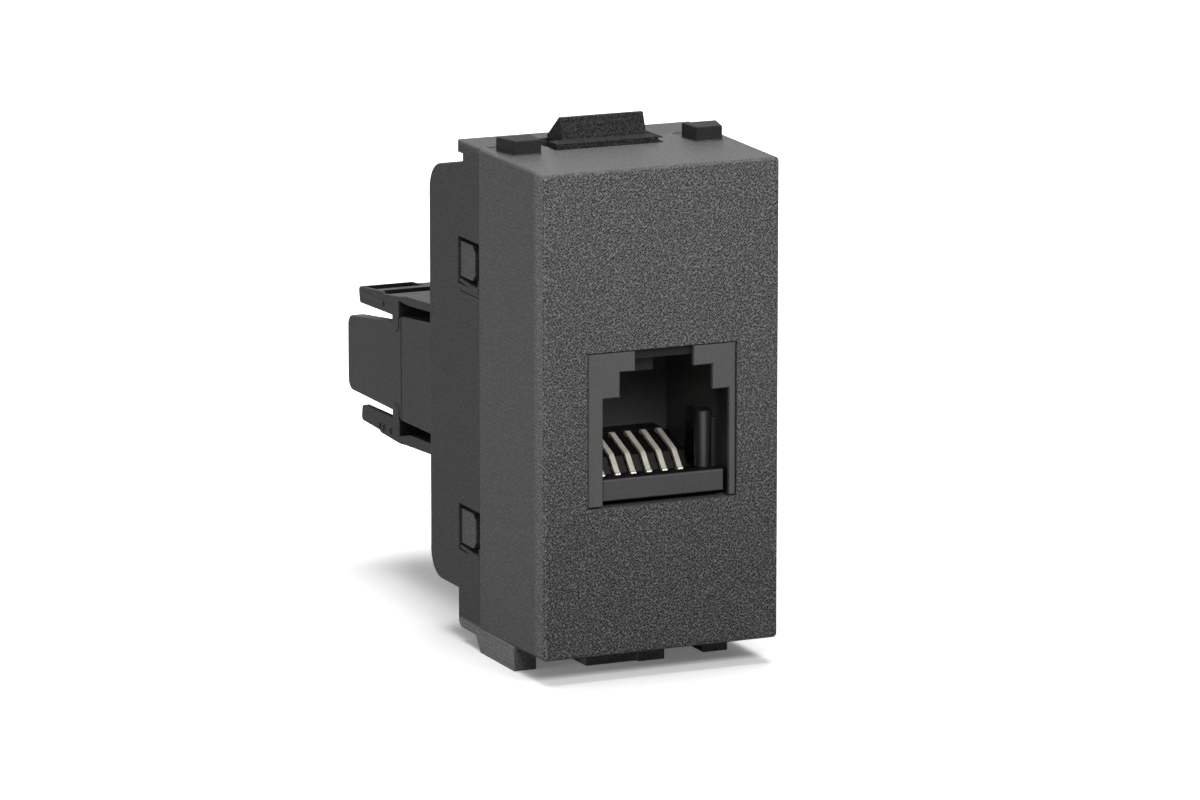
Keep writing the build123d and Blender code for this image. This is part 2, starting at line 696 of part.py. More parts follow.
def rear_frame():
    """Frame in one piece: box, flange, sleeve, bulkhead, feet, nubs and catches."""
    sleeve, bore, bulkhead = frame_sleeve()
    body = frame_box() + sleeve - bore + bulkhead
    for left, right, front in FEET:
        body += foot(left, right, front)
    root = FLANGE_FRONT + BOX_WALL
    for side in (-1, 1):
        body += nub_tongue(side, (SLEEVE_TOP - NUB_CLEARANCE, COVER_HEIGHT + COVER_TOP_FLARE / 2), root)
        nub = upward((COVER_HEIGHT - COVER_WALL / 2, COVER_HEIGHT + NUB_TOP_PROUD), nub_plan(side))
        body += fillet(nub.faces().sort_by(Axis.Z)[-1].edges(), NUB_EDGE)
        body += catch(side)
        for centre in (UPPER_ARM_LEVEL, LOWER_ARM_LEVEL):
            body -= side_window(side, centre)
            body += window_rib(side, centre)
        body -= side_score(side)
    tongue_gap = TONGUE_WIDTH / 2 + TONGUE_SIDE_GAP
    tongue_slot = (TONGUE_LEVEL - SLEEVE_WALL, FLANGE_TOP)
    body -= block((-tongue_gap, tongue_gap), (TONGUE_PIVOT_DEPTH, root), tongue_slot)
    seat = TONGUE_THICKNESS / 2 + TONGUE_SEAT_GAP
    body -= rod((-tongue_gap, tongue_gap), (TONGUE_PIVOT_DEPTH, TONGUE_LEVEL), seat)
    return body - latch_opening((SLEEVE_TOP, FLANGE_TOP + FLANGE_PLATE))


def top_latch():
    """Sprung tongue with its press strip and the wedge that snaps behind a mounting frame."""
    half = TONGUE_WIDTH / 2
    thick = TONGUE_THICKNESS / 2
    tongue = rod((-half, half), (TONGUE_PIVOT_DEPTH, TONGUE_LEVEL), thick)
    tongue += block((-half, half), (TONGUE_PIVOT_DEPTH, TONGUE_REAR_DEPTH), about(TONGUE_LEVEL, thick))
    strip_top = COVER_HEIGHT + STRIP_PROUD
    strip = (STRIP_FRONT_DEPTH, STRIP_FRONT_DEPTH + STRIP_DEPTH)
    tongue += block((STRIP_LEFT, STRIP_RIGHT), strip, (strip_top - STRIP_THICKNESS, strip_top))
    tongue += block((-half, half), strip, (TONGUE_LEVEL, strip_top - STRIP_THICKNESS / 2))
    ridge = COVER_HEIGHT + WEDGE_RIDGE_PROUD
    wedge = [
        (WEDGE_FRONT_DEPTH, COVER_HEIGHT + WEDGE_BASE_PROUD),
        (WEDGE_REAR_DEPTH - WEDGE_RIDGE_LAND, COVER_HEIGHT + WEDGE_BASE_PROUD),
        (WEDGE_REAR_DEPTH, COVER_HEIGHT + WEDGE_REAR_PROUD),
        (WEDGE_RIDGE_DEPTH + WEDGE_RIDGE_LAND, ridge),
        (WEDGE_RIDGE_DEPTH, ridge),
    ]
    tongue += soften_sides(across((-WEDGE_WIDTH / 2, WEDGE_WIDTH / 2), wedge), WEDGE_EDGE)
    stem = (WEDGE_FRONT_DEPTH - SLEEVE_WALL / 2, TONGUE_REAR_DEPTH)
    stem_top = COVER_HEIGHT + WEDGE_REAR_PROUD
    tongue += block((-WEDGE_STEM_WIDTH / 2, WEDGE_STEM_WIDTH / 2), stem, (TONGUE_LEVEL, stem_top))
    return tongue


def jack_housing():
    """Socket housing: stepped front plate, deep socket, rear wall and bearing flange."""
    front = INSERT_SINK
    body = block((INSERT_LEFT, INSERT_RIGHT), (front, HOUSING_REAR), (INSERT_BOTTOM, INSERT_TOP))
    body -= block(
        (SOCKET_LEFT, SOCKET_RIGHT),
        (front + INSERT_PLATE, SOCKET_DEPTH),
        (INSERT_BOTTOM - SOCKET_ROOF, SOCKET_TOP),
    )
    shoulder = INSERT_TOP - SHOULDER_DROP
    key_sill = INSERT_TOP - KEYWAY_DROP
    below = INSERT_BOTTOM - SOCKET_ROOF
    mouth = [
        (SOCKET_LEFT, below),
        (SOCKET_LEFT, shoulder),
        (SOCKET_LEFT + SHOULDER_WIDTH, shoulder),
        (SOCKET_LEFT + SHOULDER_WIDTH, key_sill),
        (KEYWAY_CENTRE - KEYWAY_WIDTH / 2, key_sill),
        (KEYWAY_CENTRE - KEYWAY_WIDTH / 2, INSERT_TOP + SOCKET_ROOF),
        (KEYWAY_CENTRE + KEYWAY_WIDTH / 2, INSERT_TOP + SOCKET_ROOF),
        (KEYWAY_CENTRE + KEYWAY_WIDTH / 2, key_sill),
        (SOCKET_RIGHT - SHOULDER_WIDTH, key_sill),
        (SOCKET_RIGHT - SHOULDER_WIDTH, shoulder),
        (SOCKET_RIGHT, shoulder),
        (SOCKET_RIGHT, below),
    ]
    body -= rearward((front - INSERT_PLATE, front + INSERT_PLATE), mouth)
    body = chamfer(body.faces().filter_by(Axis.Y).group_by(Axis.Y)[0].edges(), HOUSING_EDGE)
    keyway_left = KEYWAY_CENTRE - KEYWAY_WIDTH / 2
    body += block(
        (keyway_left, keyway_left + STOP_WIDTH),
        (STOP_DEPTH, STOP_DEPTH + STOP_LENGTH),
        (SOCKET_TOP - STOP_HEIGHT, SOCKET_TOP + SOCKET_ROOF / 2),
    )
    body += block(
        (-HOUSING_FLANGE_HALF, HOUSING_FLANGE_HALF),
        (BULKHEAD_REAR + SEAT_GAP, HOUSING_REAR),
        (INSERT_BOTTOM - HOUSING_FLANGE_RISE, INSERT_TOP + HOUSING_FLANGE_RISE),
    )
    lead_half = LEAD_WIDTH / 2 + LEAD_CLEARANCE
    lead_bottom = LEAD_LEVEL - LEAD_THICKNESS / 2 - LEAD_CLEARANCE
    lead_top = LEAD_LEVEL + LEAD_RISE + LEAD_CLEARANCE
    rear_wall = (SOCKET_DEPTH - SEAT_GAP, HOUSING_REAR + SEAT_GAP)
    for x in CONTACTS:
        body -= block(about(x, lead_half), rear_wall, (lead_bottom, lead_top))
    for side in (-1, 1):
        body -= guide_pegs(side, GUIDE_PEG_GAP)
    return body


def guide_pegs(side, grow=0.0):
    """Two round pegs of a plug guide, or with a gap the holes that they sit in."""
    wall = SOCKET_CENTRE + side * SOCKET_WIDTH / 2
    ends = sorted((wall - side * GUIDE_PAD_THICKNESS / 2, wall + side * (GUIDE_PEG_LENGTH + grow)))
    middle = (GUIDE_TOP + GUIDE_BOTTOM) / 2
    pegs = rod(ends, (GUIDE_BEAD_DEPTH, middle), GUIDE_PEG_RADIUS + grow)
    inset = 2 * GUIDE_PEG_RADIUS
    return pegs + rod(ends, (GUIDE_PAD_REAR - inset, middle), GUIDE_PEG_RADIUS + grow)


def plug_guide(side):
    """Guide on one wall: a flat pad with a half-round bead that centres a narrow plug."""
    wall = SOCKET_CENTRE + side * (SOCKET_WIDTH / 2 - SEAT_GAP)
    pad = upward(
        (GUIDE_BOTTOM, GUIDE_PAD_TOP),
        rectangle(sorted((wall, wall - side * GUIDE_PAD_THICKNESS)), (GUIDE_PAD_FRONT, GUIDE_PAD_REAR)),
    )
    centre = wall - side * (GUIDE_BEAD_PROUD - GUIDE_BEAD_RADIUS)
    face = Plane.XY.offset(level(GUIDE_BOTTOM)) * Pos(centre, GUIDE_BEAD_DEPTH) * Circle(GUIDE_BEAD_RADIUS)
    bead = extrude(face, amount=GUIDE_TOP - GUIDE_BOTTOM, dir=(0, 0, 1))
    bead = fillet(bead.edges().sort_by(Axis.Z)[-1], GUIDE_EDGE)
    bead &= upward(
        (GUIDE_BOTTOM - GUIDE_EDGE, GUIDE_TOP + GUIDE_EDGE),
        rectangle(sorted((wall, wall - side * SOCKET_WIDTH / 2)), (0.0, SOCKET_DEPTH)),
    )
    return pad + bead + guide_pegs(side)


def contact_carrier():
    """Comb under the contacts with the lip bar that closes the front of the socket."""
    left = SOCKET_LEFT + SEAT_GAP
    right = SOCKET_RIGHT - SEAT_GAP
    bar_front = INSERT_SINK + LIP_SINK
    bar_rear = bar_front + LIP_DEPTH
    rear = SOCKET_DEPTH - SEAT_GAP
    bar = block((left, right + SEAT_GAP - LIP_RIGHT_GAP), (bar_front, bar_rear), (LIP_BOTTOM, LIP_TOP))
    bar = chamfer(bar.faces().sort_by(Axis.Y)[0].edges(), HOUSING_EDGE)
    root_depth, root_level = CONTACT_ROOT
    knee_depth, knee_level = CONTACT_KNEE
    tip_depth, tip_level = CONTACT_TIP
    ramp_foot = root_depth + 2 * CONTACT_BEAD
    comb = [
        (bar_rear - SEAT_GAP, CARRIER_BOTTOM),
        (rear, CARRIER_BOTTOM),
        (rear, CARRIER_PLATEAU),
        (tip_depth + 2 * CONTACT_THICKNESS, CARRIER_PLATEAU),
        (tip_depth, tip_level - COMB_SHY),
        (knee_depth, knee_level - COMB_SHY),
        (ramp_foot, CARRIER_FLOOR),
        (bar_rear - SEAT_GAP, CARRIER_FLOOR),
    ]
    body = bar + across((left, right), comb)
    slot_half = CONTACT_WIDTH / 2 + COMB_SLOT_CLEARANCE
    comb_half = (CONTACTS[-1] - CONTACTS[0]) / 2 + slot_half + COMB_SLOT_CLEARANCE
    for x in ((left - SEAT_GAP, CONTACT_CENTRE - comb_half - CONTACT_WIDTH),
              (CONTACT_CENTRE + comb_half + CONTACT_WIDTH, right + SEAT_GAP)):
        body -= block(x, (bar_rear, rear + SEAT_GAP), (CARRIER_SIDE_FLOOR, CARRIER_PLATEAU + SEAT_GAP))
    lead_half = LEAD_WIDTH / 2 + LEAD_CLEARANCE
    lead_roof = LEAD_LEVEL + LEAD_THICKNESS / 2 + LEAD_CLEARANCE
    for x in CONTACTS:
        slot = [
            (root_depth, root_level),
            (knee_depth, knee_level - COMB_TRAVEL),
            (tip_depth - CONTACT_THICKNESS, tip_level - COMB_TRAVEL - CONTACT_THICKNESS),
            (tip_depth, tip_level - 2 * COMB_TRAVEL - CONTACT_THICKNESS),
            (tip_depth + 3 * CONTACT_THICKNESS, tip_level - 2 * COMB_TRAVEL - CONTACT_THICKNESS),
            (tip_depth + 3 * CONTACT_THICKNESS, CARRIER_PLATEAU + COMB_TRAVEL),
            (root_depth, CARRIER_PLATEAU + COMB_TRAVEL),
        ]
        body -= across(about(x, slot_half), slot)
        body -= rod(about(x, slot_half), CONTACT_ROOT, CONTACT_BEAD + CONTACT_BEAD_GAP)
        channel = (root_depth - LEAD_WIDTH, rear + SEAT_GAP)
        body -= block(about(x, lead_half), channel, (CARRIER_BOTTOM - SEAT_GAP, lead_roof))
        body -= block(about(x, lead_half), about(root_depth, CONTACT_BEAD), (LEAD_LEVEL, root_level))
    return body


def contact(x):
    """One sprung contact: a bent strip on a round root, with a short tail."""
    width = about(x, CONTACT_WIDTH / 2)
    path = [CONTACT_ROOT, CONTACT_KNEE, CONTACT_TIP, CONTACT_TAIL]
    bends = [CONTACT_BEND_RADIUS, CONTACT_THICKNESS / 2 + CONTACT_BEAD_GAP]
    strip = ribbon(width, path, bends, CONTACT_THICKNESS)
    return strip + rod(width, CONTACT_ROOT, CONTACT_BEAD)


def lead_frame():
    """Six flat leads from the contact roots back to the circuit board."""
    front = CONTACT_ROOT[0]
    rear = HOUSING_REAR - LEAD_THICKNESS / 2 - LEAD_CLEARANCE
    top = CONTACT_ROOT[1] - CONTACT_BEAD - CONTACT_BEAD_GAP - LEAD_CLEARANCE
    path = [(front, top), (front, LEAD_LEVEL), (rear, LEAD_LEVEL), (rear, LEAD_LEVEL + LEAD_RISE)]
    bend = LEAD_THICKNESS / 2 + CONTACT_BEAD_GAP
    return Compound([ribbon(about(x, LEAD_WIDTH / 2), path, bend, LEAD_THICKNESS).solid() for x in CONTACTS])


def circuit_board():
    """Small board with a clearance hole for each terminal pin."""
    board = block(about(0.0, BOARD_WIDTH / 2), (BOARD_FRONT, BOARD_REAR), (BOARD_BOTTOM, BOARD_TOP))
    through = (BOARD_FRONT - BOARD_GAP, BOARD_REAR + BOARD_GAP)
    for x in TERMINALS:
        board -= pin(through, (x, TERMINAL_LEVEL), PIN_RADIUS + PIN_CLEARANCE)
    return board


def terminal_block():
    """Block behind the board, with pin bores, blade slots and hook notches."""
    front = BOARD_FRONT
    rear = BLOCK_REAR_DEPTH
    side = [
        (front, block_bottom(front)),
        (rear, BLOCK_BOTTOM_REAR),
        (rear, BLOCK_TOP_REAR),
        (front, block_top(front)),
    ]
    body = across((-BLOCK_HALF, BLOCK_HALF), side)
    body = fillet(body.edges(), BLOCK_EDGE)
    body -= block(
        about(0.0, BOARD_WIDTH / 2 + BOARD_SIDE_GAP),
        (front - BOARD_GAP, BOARD_REAR + BOARD_GAP),
        (BOARD_BOTTOM - BOARD_SIDE_GAP, BOARD_TOP + BOARD_SIDE_GAP),
    )
    for x in TERMINALS:
        body -= pin((BOARD_REAR, BLADE_START_DEPTH), (x, TERMINAL_LEVEL), PIN_RADIUS + PIN_CLEARANCE)
        body -= block(
            about(x, BLADE_WIDTH / 2 + BLADE_CLEARANCE),
            (BLADE_START_DEPTH - BLADE_CLEARANCE, rear + CAP_GAP),
            about(TERMINAL_LEVEL, BLADE_THICKNESS / 2 + BLADE_CLEARANCE),
        )
    hook = (LEVER_HOOK_DEPTH - LEVER_HOOK_GAP, LEVER_HOOK_DEPTH + LEVER_HOOK_LENGTH + LEVER_HOOK_GAP)
    top = block_top(LEVER_HOOK_DEPTH)
    bottom = block_bottom(LEVER_HOOK_DEPTH)
    middle = INSERT_BOTTOM + INSERT_HEIGHT / 2
    catch_half = CATCH_HEIGHT / 2 + CATCH_REACH
    for hand in (-1, 1):
        lever_x = sorted((hand * (LEVER_INNER - LEVER_HOOK_GAP), hand * (BLOCK_HALF + LEVER_HOOK_GAP)))
        body -= block(lever_x, hook, (top - NOTCH_DEPTH, top + NOTCH_DEPTH))
        body -= block(lever_x, hook, (bottom - NOTCH_DEPTH, bottom + NOTCH_DEPTH))
        catch_x = sorted((hand * (HOUSING_FLANGE_HALF - 2 * CATCH_REACH), hand * (BLOCK_HALF + CATCH_REACH)))
        body -= block(catch_x, (front - BOARD_GAP, front + 2 * BOX_WALL), about(middle, catch_half))
    return body


def idc_terminal(x):
    """One terminal: a round pin that widens into a flat blade with a forked end."""
    blade = [
        (x - BLADE_WIDTH / 2, BLADE_START_DEPTH),
        (x + BLADE_WIDTH / 2, BLADE_START_DEPTH),
        (x + BLADE_WIDTH / 2, BLADE_REAR_DEPTH),
        (x + FORK_MOUTH / 2, BLADE_REAR_DEPTH),
        (x + FORK_SLIT / 2, BLADE_REAR_DEPTH - FORK_MOUTH_DEPTH),
        (x + FORK_SLIT / 2, BLADE_REAR_DEPTH - FORK_LENGTH),
        (x - FORK_SLIT / 2, BLADE_REAR_DEPTH - FORK_LENGTH),
        (x - FORK_SLIT / 2, BLADE_REAR_DEPTH - FORK_MOUTH_DEPTH),
        (x - FORK_MOUTH / 2, BLADE_REAR_DEPTH),
        (x - BLADE_WIDTH / 2, BLADE_REAR_DEPTH),
    ]
    body = upward(about(TERMINAL_LEVEL, BLADE_THICKNESS / 2), blade)
    return body + pin((BOARD_FRONT + BOARD_GAP, BLADE_START_DEPTH), (x, TERMINAL_LEVEL), PIN_RADIUS)


def wiring_cap():
    """Cap with an end wall, two side wings and the trough that the wires lie in."""
    crown = CAP_FRONT + CAP_CROWN_DEPTH
    side = [
        (CAP_FRONT, BLOCK_BOTTOM_REAR),
        (crown, CAP_KEEL),
        (WING_REAR_DEPTH, CAP_KEEL),
        (WING_REAR_DEPTH, WING_TOP_REAR),
        (crown, CAP_CROWN_TOP),
        (CAP_FRONT, BLOCK_TOP_REAR),
    ]
    body = across((-BLOCK_HALF, BLOCK_HALF), side, [0, 0, WING_RADIUS, WING_RADIUS, 0, 0])
    body = soften_sides(body, CAP_EDGE)
    trough = BLOCK_HALF - WING_THICKNESS
    trough_height = (CAP_KEEL + TROUGH_FLOOR, BLOCK_TOP_REAR)
    body -= block((-trough, trough), (CAP_WALL_REAR, WING_REAR_DEPTH + WING_RADIUS), trough_height)
    for x in TERMINALS:
        body -= block(
            about(x, WIRE_SLOT_WIDTH / 2),
            (CAP_WALL_REAR - WIRE_SLOT_DEPTH, CAP_WALL_REAR + CAP_GAP),
            (WIRE_SLOT_BOTTOM, WIRE_SLOT_TOP),
        )
        body -= block(
            about(x, BLADE_WIDTH / 2 + BLADE_CLEARANCE),
            (CAP_FRONT - CAP_GAP, CAP_WALL_REAR + CAP_GAP),
            about(TERMINAL_LEVEL, BLADE_THICKNESS / 2 + BLADE_CLEARANCE),
        )
    seat_x = (LEVER_NECK_INNER - LEVER_SEAT_GAP, BLOCK_HALF + LEVER_SEAT_GAP)
    seat = LEVER_NECK / 2 + LEVER_SEAT_GAP
    swing = (PIVOT_DEPTH - seat, PIVOT_DEPTH + LEVER_NECK / 2 + LEVER_SWING_GAP)
    for hand in (-1, 1):
        x = sorted((hand * seat_x[0], hand * seat_x[1]))
        for pivot, outside in ((UPPER_PIVOT, BLOCK_TOP_REAR), (LOWER_PIVOT, BLOCK_BOTTOM_REAR)):
            body -= rod(x, (PIVOT_DEPTH, pivot), seat)
            body -= block(x, swing, sorted((pivot, outside)))
    return body


def lever_body(shape, pivot, outward):
    """Grip block and hooked strip of a lever on one side outline, with the neck and pivot."""
    hook_rear = LEVER_HOOK_DEPTH + LEVER_HOOK_LENGTH
    notch = block_top(LEVER_HOOK_DEPTH) if outward > 0 else block_bottom(LEVER_HOOK_DEPTH)
    side = [
        (LEVER_HOOK_DEPTH, notch - outward * (NOTCH_DEPTH - LEVER_HOOK_GAP)),
        (hook_rear, notch - outward * (NOTCH_DEPTH - LEVER_HOOK_GAP)),
        (hook_rear, shape.inner_hook),
        (LEVER_STRIP_ARCH_DEPTH, shape.inner_arch),
        (LEVER_FRONT_DEPTH, shape.inner_root),
        (LEVER_FRONT_DEPTH, shape.inner_front),
        (shape.tip_depth - LEVER_TIP_LEAN, shape.inner_tip),
        (shape.tip_depth, shape.outer_tip),
        (shape.pad_depth + LEVER_STEP, shape.outer_step),
        (shape.pad_depth, shape.outer_pad),
        (LEVER_FRONT_DEPTH, shape.outer_front),
        (LEVER_STRIP_BEND_DEPTH, shape.outer_bend),
        (LEVER_HOOK_DEPTH, shape.outer_hook),
    ]
    bend = LEVER_TIP_RADIUS
    radii = [0, 0, 0, bend, 0, 0, bend, bend, 0, 0, 0, bend, 0]
    outer = BLOCK_HALF + LEVER_PROUD
    body = soften_sides(across((LEVER_INNER, outer), side, radii), LEVER_EDGE)
    body += rod((LEVER_NECK_INNER, outer), (PIVOT_DEPTH, pivot), LEVER_NECK / 2)
    neck = sorted((pivot, shape.inner_front + outward * LEVER_EDGE))
    return body + block((LEVER_NECK_INNER, outer), about(PIVOT_DEPTH, LEVER_NECK / 2), neck)


def lever(shape, pivot, hand):
    """One squeeze lever, hollow towards the cap, with the marks of its grip."""
    outward = 1 if shape.outer_front > pivot else -1
    outer = BLOCK_HALF + LEVER_PROUD
    body = lever_body(shape, pivot, outward)
    hollow_x = (LEVER_INNER + LEVER_WALL, outer - LEVER_WALL)
    beyond = shape.tip_depth + LEVER_WALL
    inside = shape.inner_front - outward * LEVER_WALL
    hollow = sorted((inside, shape.inner_tip + outward * shape.hollow))
    outside = shape.outer_tip + outward * LEVER_WALL
    body -= block(hollow_x, (PIVOT_DEPTH + LEVER_NECK / 2, beyond), hollow)
    body -= block(hollow_x, (shape.plate_end, beyond), sorted((inside, outside)))
    if outward > 0:
        for recess, face in zip(GRIP_RECESSES, (shape.outer_pad, shape.outer_tip)):
            depth = (face - GRIP_RECESS_DEPTH, face + GRIP_RECESS_DEPTH)
            body -= block((LEVER_INNER + GRIP_RIM, outer - GRIP_RIM), recess, depth)
        ear = (shape.outer_tip + EAR_RISE - EAR_THICKNESS, shape.outer_tip + EAR_RISE)
        body += block((EAR_INNER, LEVER_INNER + GRIP_RIM / 2), EAR_DEPTHS, ear)
        body += block(
            (outer - LEVER_PROUD, outer + LEVER_PAD_PROUD),
            (shape.pad_depth, shape.tip_depth - LEVER_TIP_RADIUS - LEVER_TIP_LEAN),
            (shape.inner_front + LEVER_TIP_RADIUS, shape.outer_tip - LEVER_TIP_RADIUS),
        )
    else:
        rib_x = (outer - LEVER_PROUD, outer + GRIP_RIB_PROUD)
        rib = about(shape.outer_front + GRIP_RIB_RISE, GRIP_RIB_HEIGHT / 2)
        for depth in GRIP_RIB_DEPTHS:
            body += block(rib_x, (depth, depth + GRIP_RIB_WIDTH), rib)
    return body if hand > 0 else mirror(body, Plane.YZ)


def nodes():
    """Every piece of the module by its name."""
    pieces = {
        "front_cover": front_cover(),
        "rear_frame": rear_frame(),
        "top_latch": top_latch(),
        "jack_housing": jack_housing(),
        "contact_carrier": contact_carrier(),
        "plug_guide_left": plug_guide(-1),
        "plug_guide_right": plug_guide(1),
        "lead_frame": lead_frame(),
        "circuit_board": circuit_board(),
        "terminal_block": terminal_block(),
        "wiring_cap": wiring_cap(),
        "upper_lever_left": lever(UPPER_LEVER, UPPER_PIVOT, -1),
        "upper_lever_right": lever(UPPER_LEVER, UPPER_PIVOT, 1),
        "lower_lever_left": lever(LOWER_LEVER, LOWER_PIVOT, -1),
        "lower_lever_right": lever(LOWER_LEVER, LOWER_PIVOT, 1),
    }
    for number, x in enumerate(CONTACTS, start=1):
        pieces[f"contact_{number}"] = contact(x)
    for number, x in enumerate(TERMINALS, start=1):
        pieces[f"idc_terminal_{number}"] = idc_terminal(x)
    return pieces


os.makedirs("parts", exist_ok=True)
for name, piece in nodes().items():
    export_step(piece, f"parts/{name}.step")
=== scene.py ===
"""Looks of a one-module telephone socket: finishes, studio light and camera around its fixed frame."""

import logging
import math
from dataclasses import dataclass
from enum import Enum
from typing import Any

import bmesh
import bpy
from mathutils import Matrix, Vector


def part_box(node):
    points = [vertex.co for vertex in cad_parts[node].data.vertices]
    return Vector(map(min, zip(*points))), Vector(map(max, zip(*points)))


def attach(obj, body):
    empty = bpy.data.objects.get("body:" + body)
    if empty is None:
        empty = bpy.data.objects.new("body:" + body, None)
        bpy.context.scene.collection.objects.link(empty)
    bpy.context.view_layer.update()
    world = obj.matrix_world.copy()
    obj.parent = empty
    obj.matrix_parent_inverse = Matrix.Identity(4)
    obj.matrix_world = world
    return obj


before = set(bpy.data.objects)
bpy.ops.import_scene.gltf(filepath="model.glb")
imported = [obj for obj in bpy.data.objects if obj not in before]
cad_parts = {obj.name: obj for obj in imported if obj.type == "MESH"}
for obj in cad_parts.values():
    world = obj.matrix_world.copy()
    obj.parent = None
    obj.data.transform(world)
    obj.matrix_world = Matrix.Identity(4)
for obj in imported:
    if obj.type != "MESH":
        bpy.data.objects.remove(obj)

LOG = logging.getLogger("socket_looks")
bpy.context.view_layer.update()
MM = 0.001

# Painted shade on the front: its tone falls off below this height, over this reach to both sides of it.
PAINTED_SHADE_LEVEL = -7.0 * MM
PAINTED_SHADE_REACH = 10.0 * MM

# Spark-eroded grain: its turn off the axes, how its pits wander, and the finer pits among them.
GRAIN_TURN = (0.0, 0.6, 0.0)
GRAIN_DRIFT = 0.7
DRIFT_SCALE = 0.6
FINE_SCALE = 2.3
GRAIN_DETAIL = 1.0
CLOUD_DETAIL = 4.0
NOISE_MIDDLE = 0.5

# Painted highlight on the polished beads: the way they face there, and how narrow it is.
HIGHLIGHT_WAY = (-0.37, -0.93, 0.0)
HIGHLIGHT_POWER = 24.0

# How fast the masks of the front's rim, for its painted shade, and of broken edges, for their painted highlight,
# reach one, and the bevel's samples.
RIM_GAIN = 2.0
EDGE_GAIN = 4.0
BEVEL_SAMPLES = 4


class GrainPlace(Enum):
    """Where a moulded surface carries its spark-eroded grain."""

    NONE = "none"
    FRONT = "front"
    ALL = "all"


class Along(Enum):
    """Axis along which a tone changes, as the output of a split vector."""

    DEPTH = "Y"
    HEIGHT = "Z"


class NodeBench:
    """Short way to add and join nodes in one shader tree."""

    def __init__(self, tree: bpy.types.NodeTree) -> None:
        """Keep the tree and empty it.

        Args:
            tree: The material's or group's node tree.
        """
        self.tree = tree
        tree.nodes.clear()

    def add(self, kind: str, settings: dict[str, Any] | None = None, **inputs: Any) -> bpy.types.Node:
        """Add a node, set its properties and fill or link its inputs.

        Args:
            kind: The node's Blender type name.
            settings: Properties of the node itself.
            inputs: Input values or output sockets, by input name with spaces as underscores.

        Returns:
            The new node.
        """
        node = self.tree.nodes.new(kind)
        for name, value in (settings or {}).items():
            setattr(node, name, value)
        for name, value in inputs.items():
            socket = node.inputs[name.replace("_", " ")]
            if isinstance(value, bpy.types.NodeSocket):
                self.tree.links.new(value, socket)
            else:
                socket.default_value = value
        return node

    def maths(
        self, operation: str, first: Any, second: Any = 0.0, third: Any = 0.0, clamp: bool = False
    ) -> bpy.types.NodeSocket:
        """Add a maths node on up to three values.

        Args:
            operation: The maths operation.
            first: A number or an output socket.
            second: A number or an output socket.
            third: A number or an output socket, for an operation that takes three.
            clamp: Whether the result stays between nought and one.

        Returns:
            The output socket of the result.
        """
        node = self.tree.nodes.new("ShaderNodeMath")
        node.operation = operation
        node.use_clamp = clamp
        for socket, value in zip(node.inputs, (first, second, third)):
            if isinstance(value, bpy.types.NodeSocket):
                self.tree.links.new(value, socket)
            else:
                socket.default_value = value
        return node.outputs[0]

    def vectors(self, operation: str, first: bpy.types.NodeSocket, second: Any) -> bpy.types.Node:
        """Add a vector maths node on two values.

        Args:
            operation: The vector maths operation.
            first: The output socket of a vector.
            second: A vector, an output socket, or the number or socket to scale by.

        Returns:
            The new node.
        """
        node = self.add("ShaderNodeVectorMath", {"operation": operation})
        self.join(first, node.inputs[0])
        other = node.inputs["Scale"] if operation == "SCALE" else node.inputs[1]
        if isinstance(second, bpy.types.NodeSocket):
            self.join(second, other)
        else:
            other.default_value = second
        return node

    def tinted(self, tone: tuple[float, float, float], shade: bpy.types.NodeSocket) -> bpy.types.NodeSocket:
        """Multiply a tone by a shade that changes over the surface.

        Args:
            tone: The colour as written.
            shade: The output socket of the factor.

        Returns:
            The output socket of the colour.
        """
        mix = self.add("ShaderNodeMix", {"data_type": "RGBA", "blend_type": "MULTIPLY"})
        mix.inputs["Factor"].default_value = 1.0
        mix.inputs["A"].default_value = (*tone, 1.0)
        self.join(shade, mix.inputs["B"])
        return mix.outputs["Result"]

    def join(self, source: bpy.types.NodeSocket, target: bpy.types.NodeSocket) -> None:
        """Link an output to an input."""
        self.tree.links.new(source, target)


GroupParts = tuple[bpy.types.NodeTree, NodeBench, bpy.types.Node, bpy.types.Node]


def blank_material(name: str) -> tuple[bpy.types.Material, NodeBench, bpy.types.NodeSocket]:
    """Make a material that has only its output.

    Args:
        name: The material's name.

    Returns:
        The material, its bench and the surface input of its output.
    """
    material = bpy.data.materials.new(name)
    material.use_nodes = True
    bench = NodeBench(material.node_tree)
    return material, bench, bench.add("ShaderNodeOutputMaterial").inputs["Surface"]


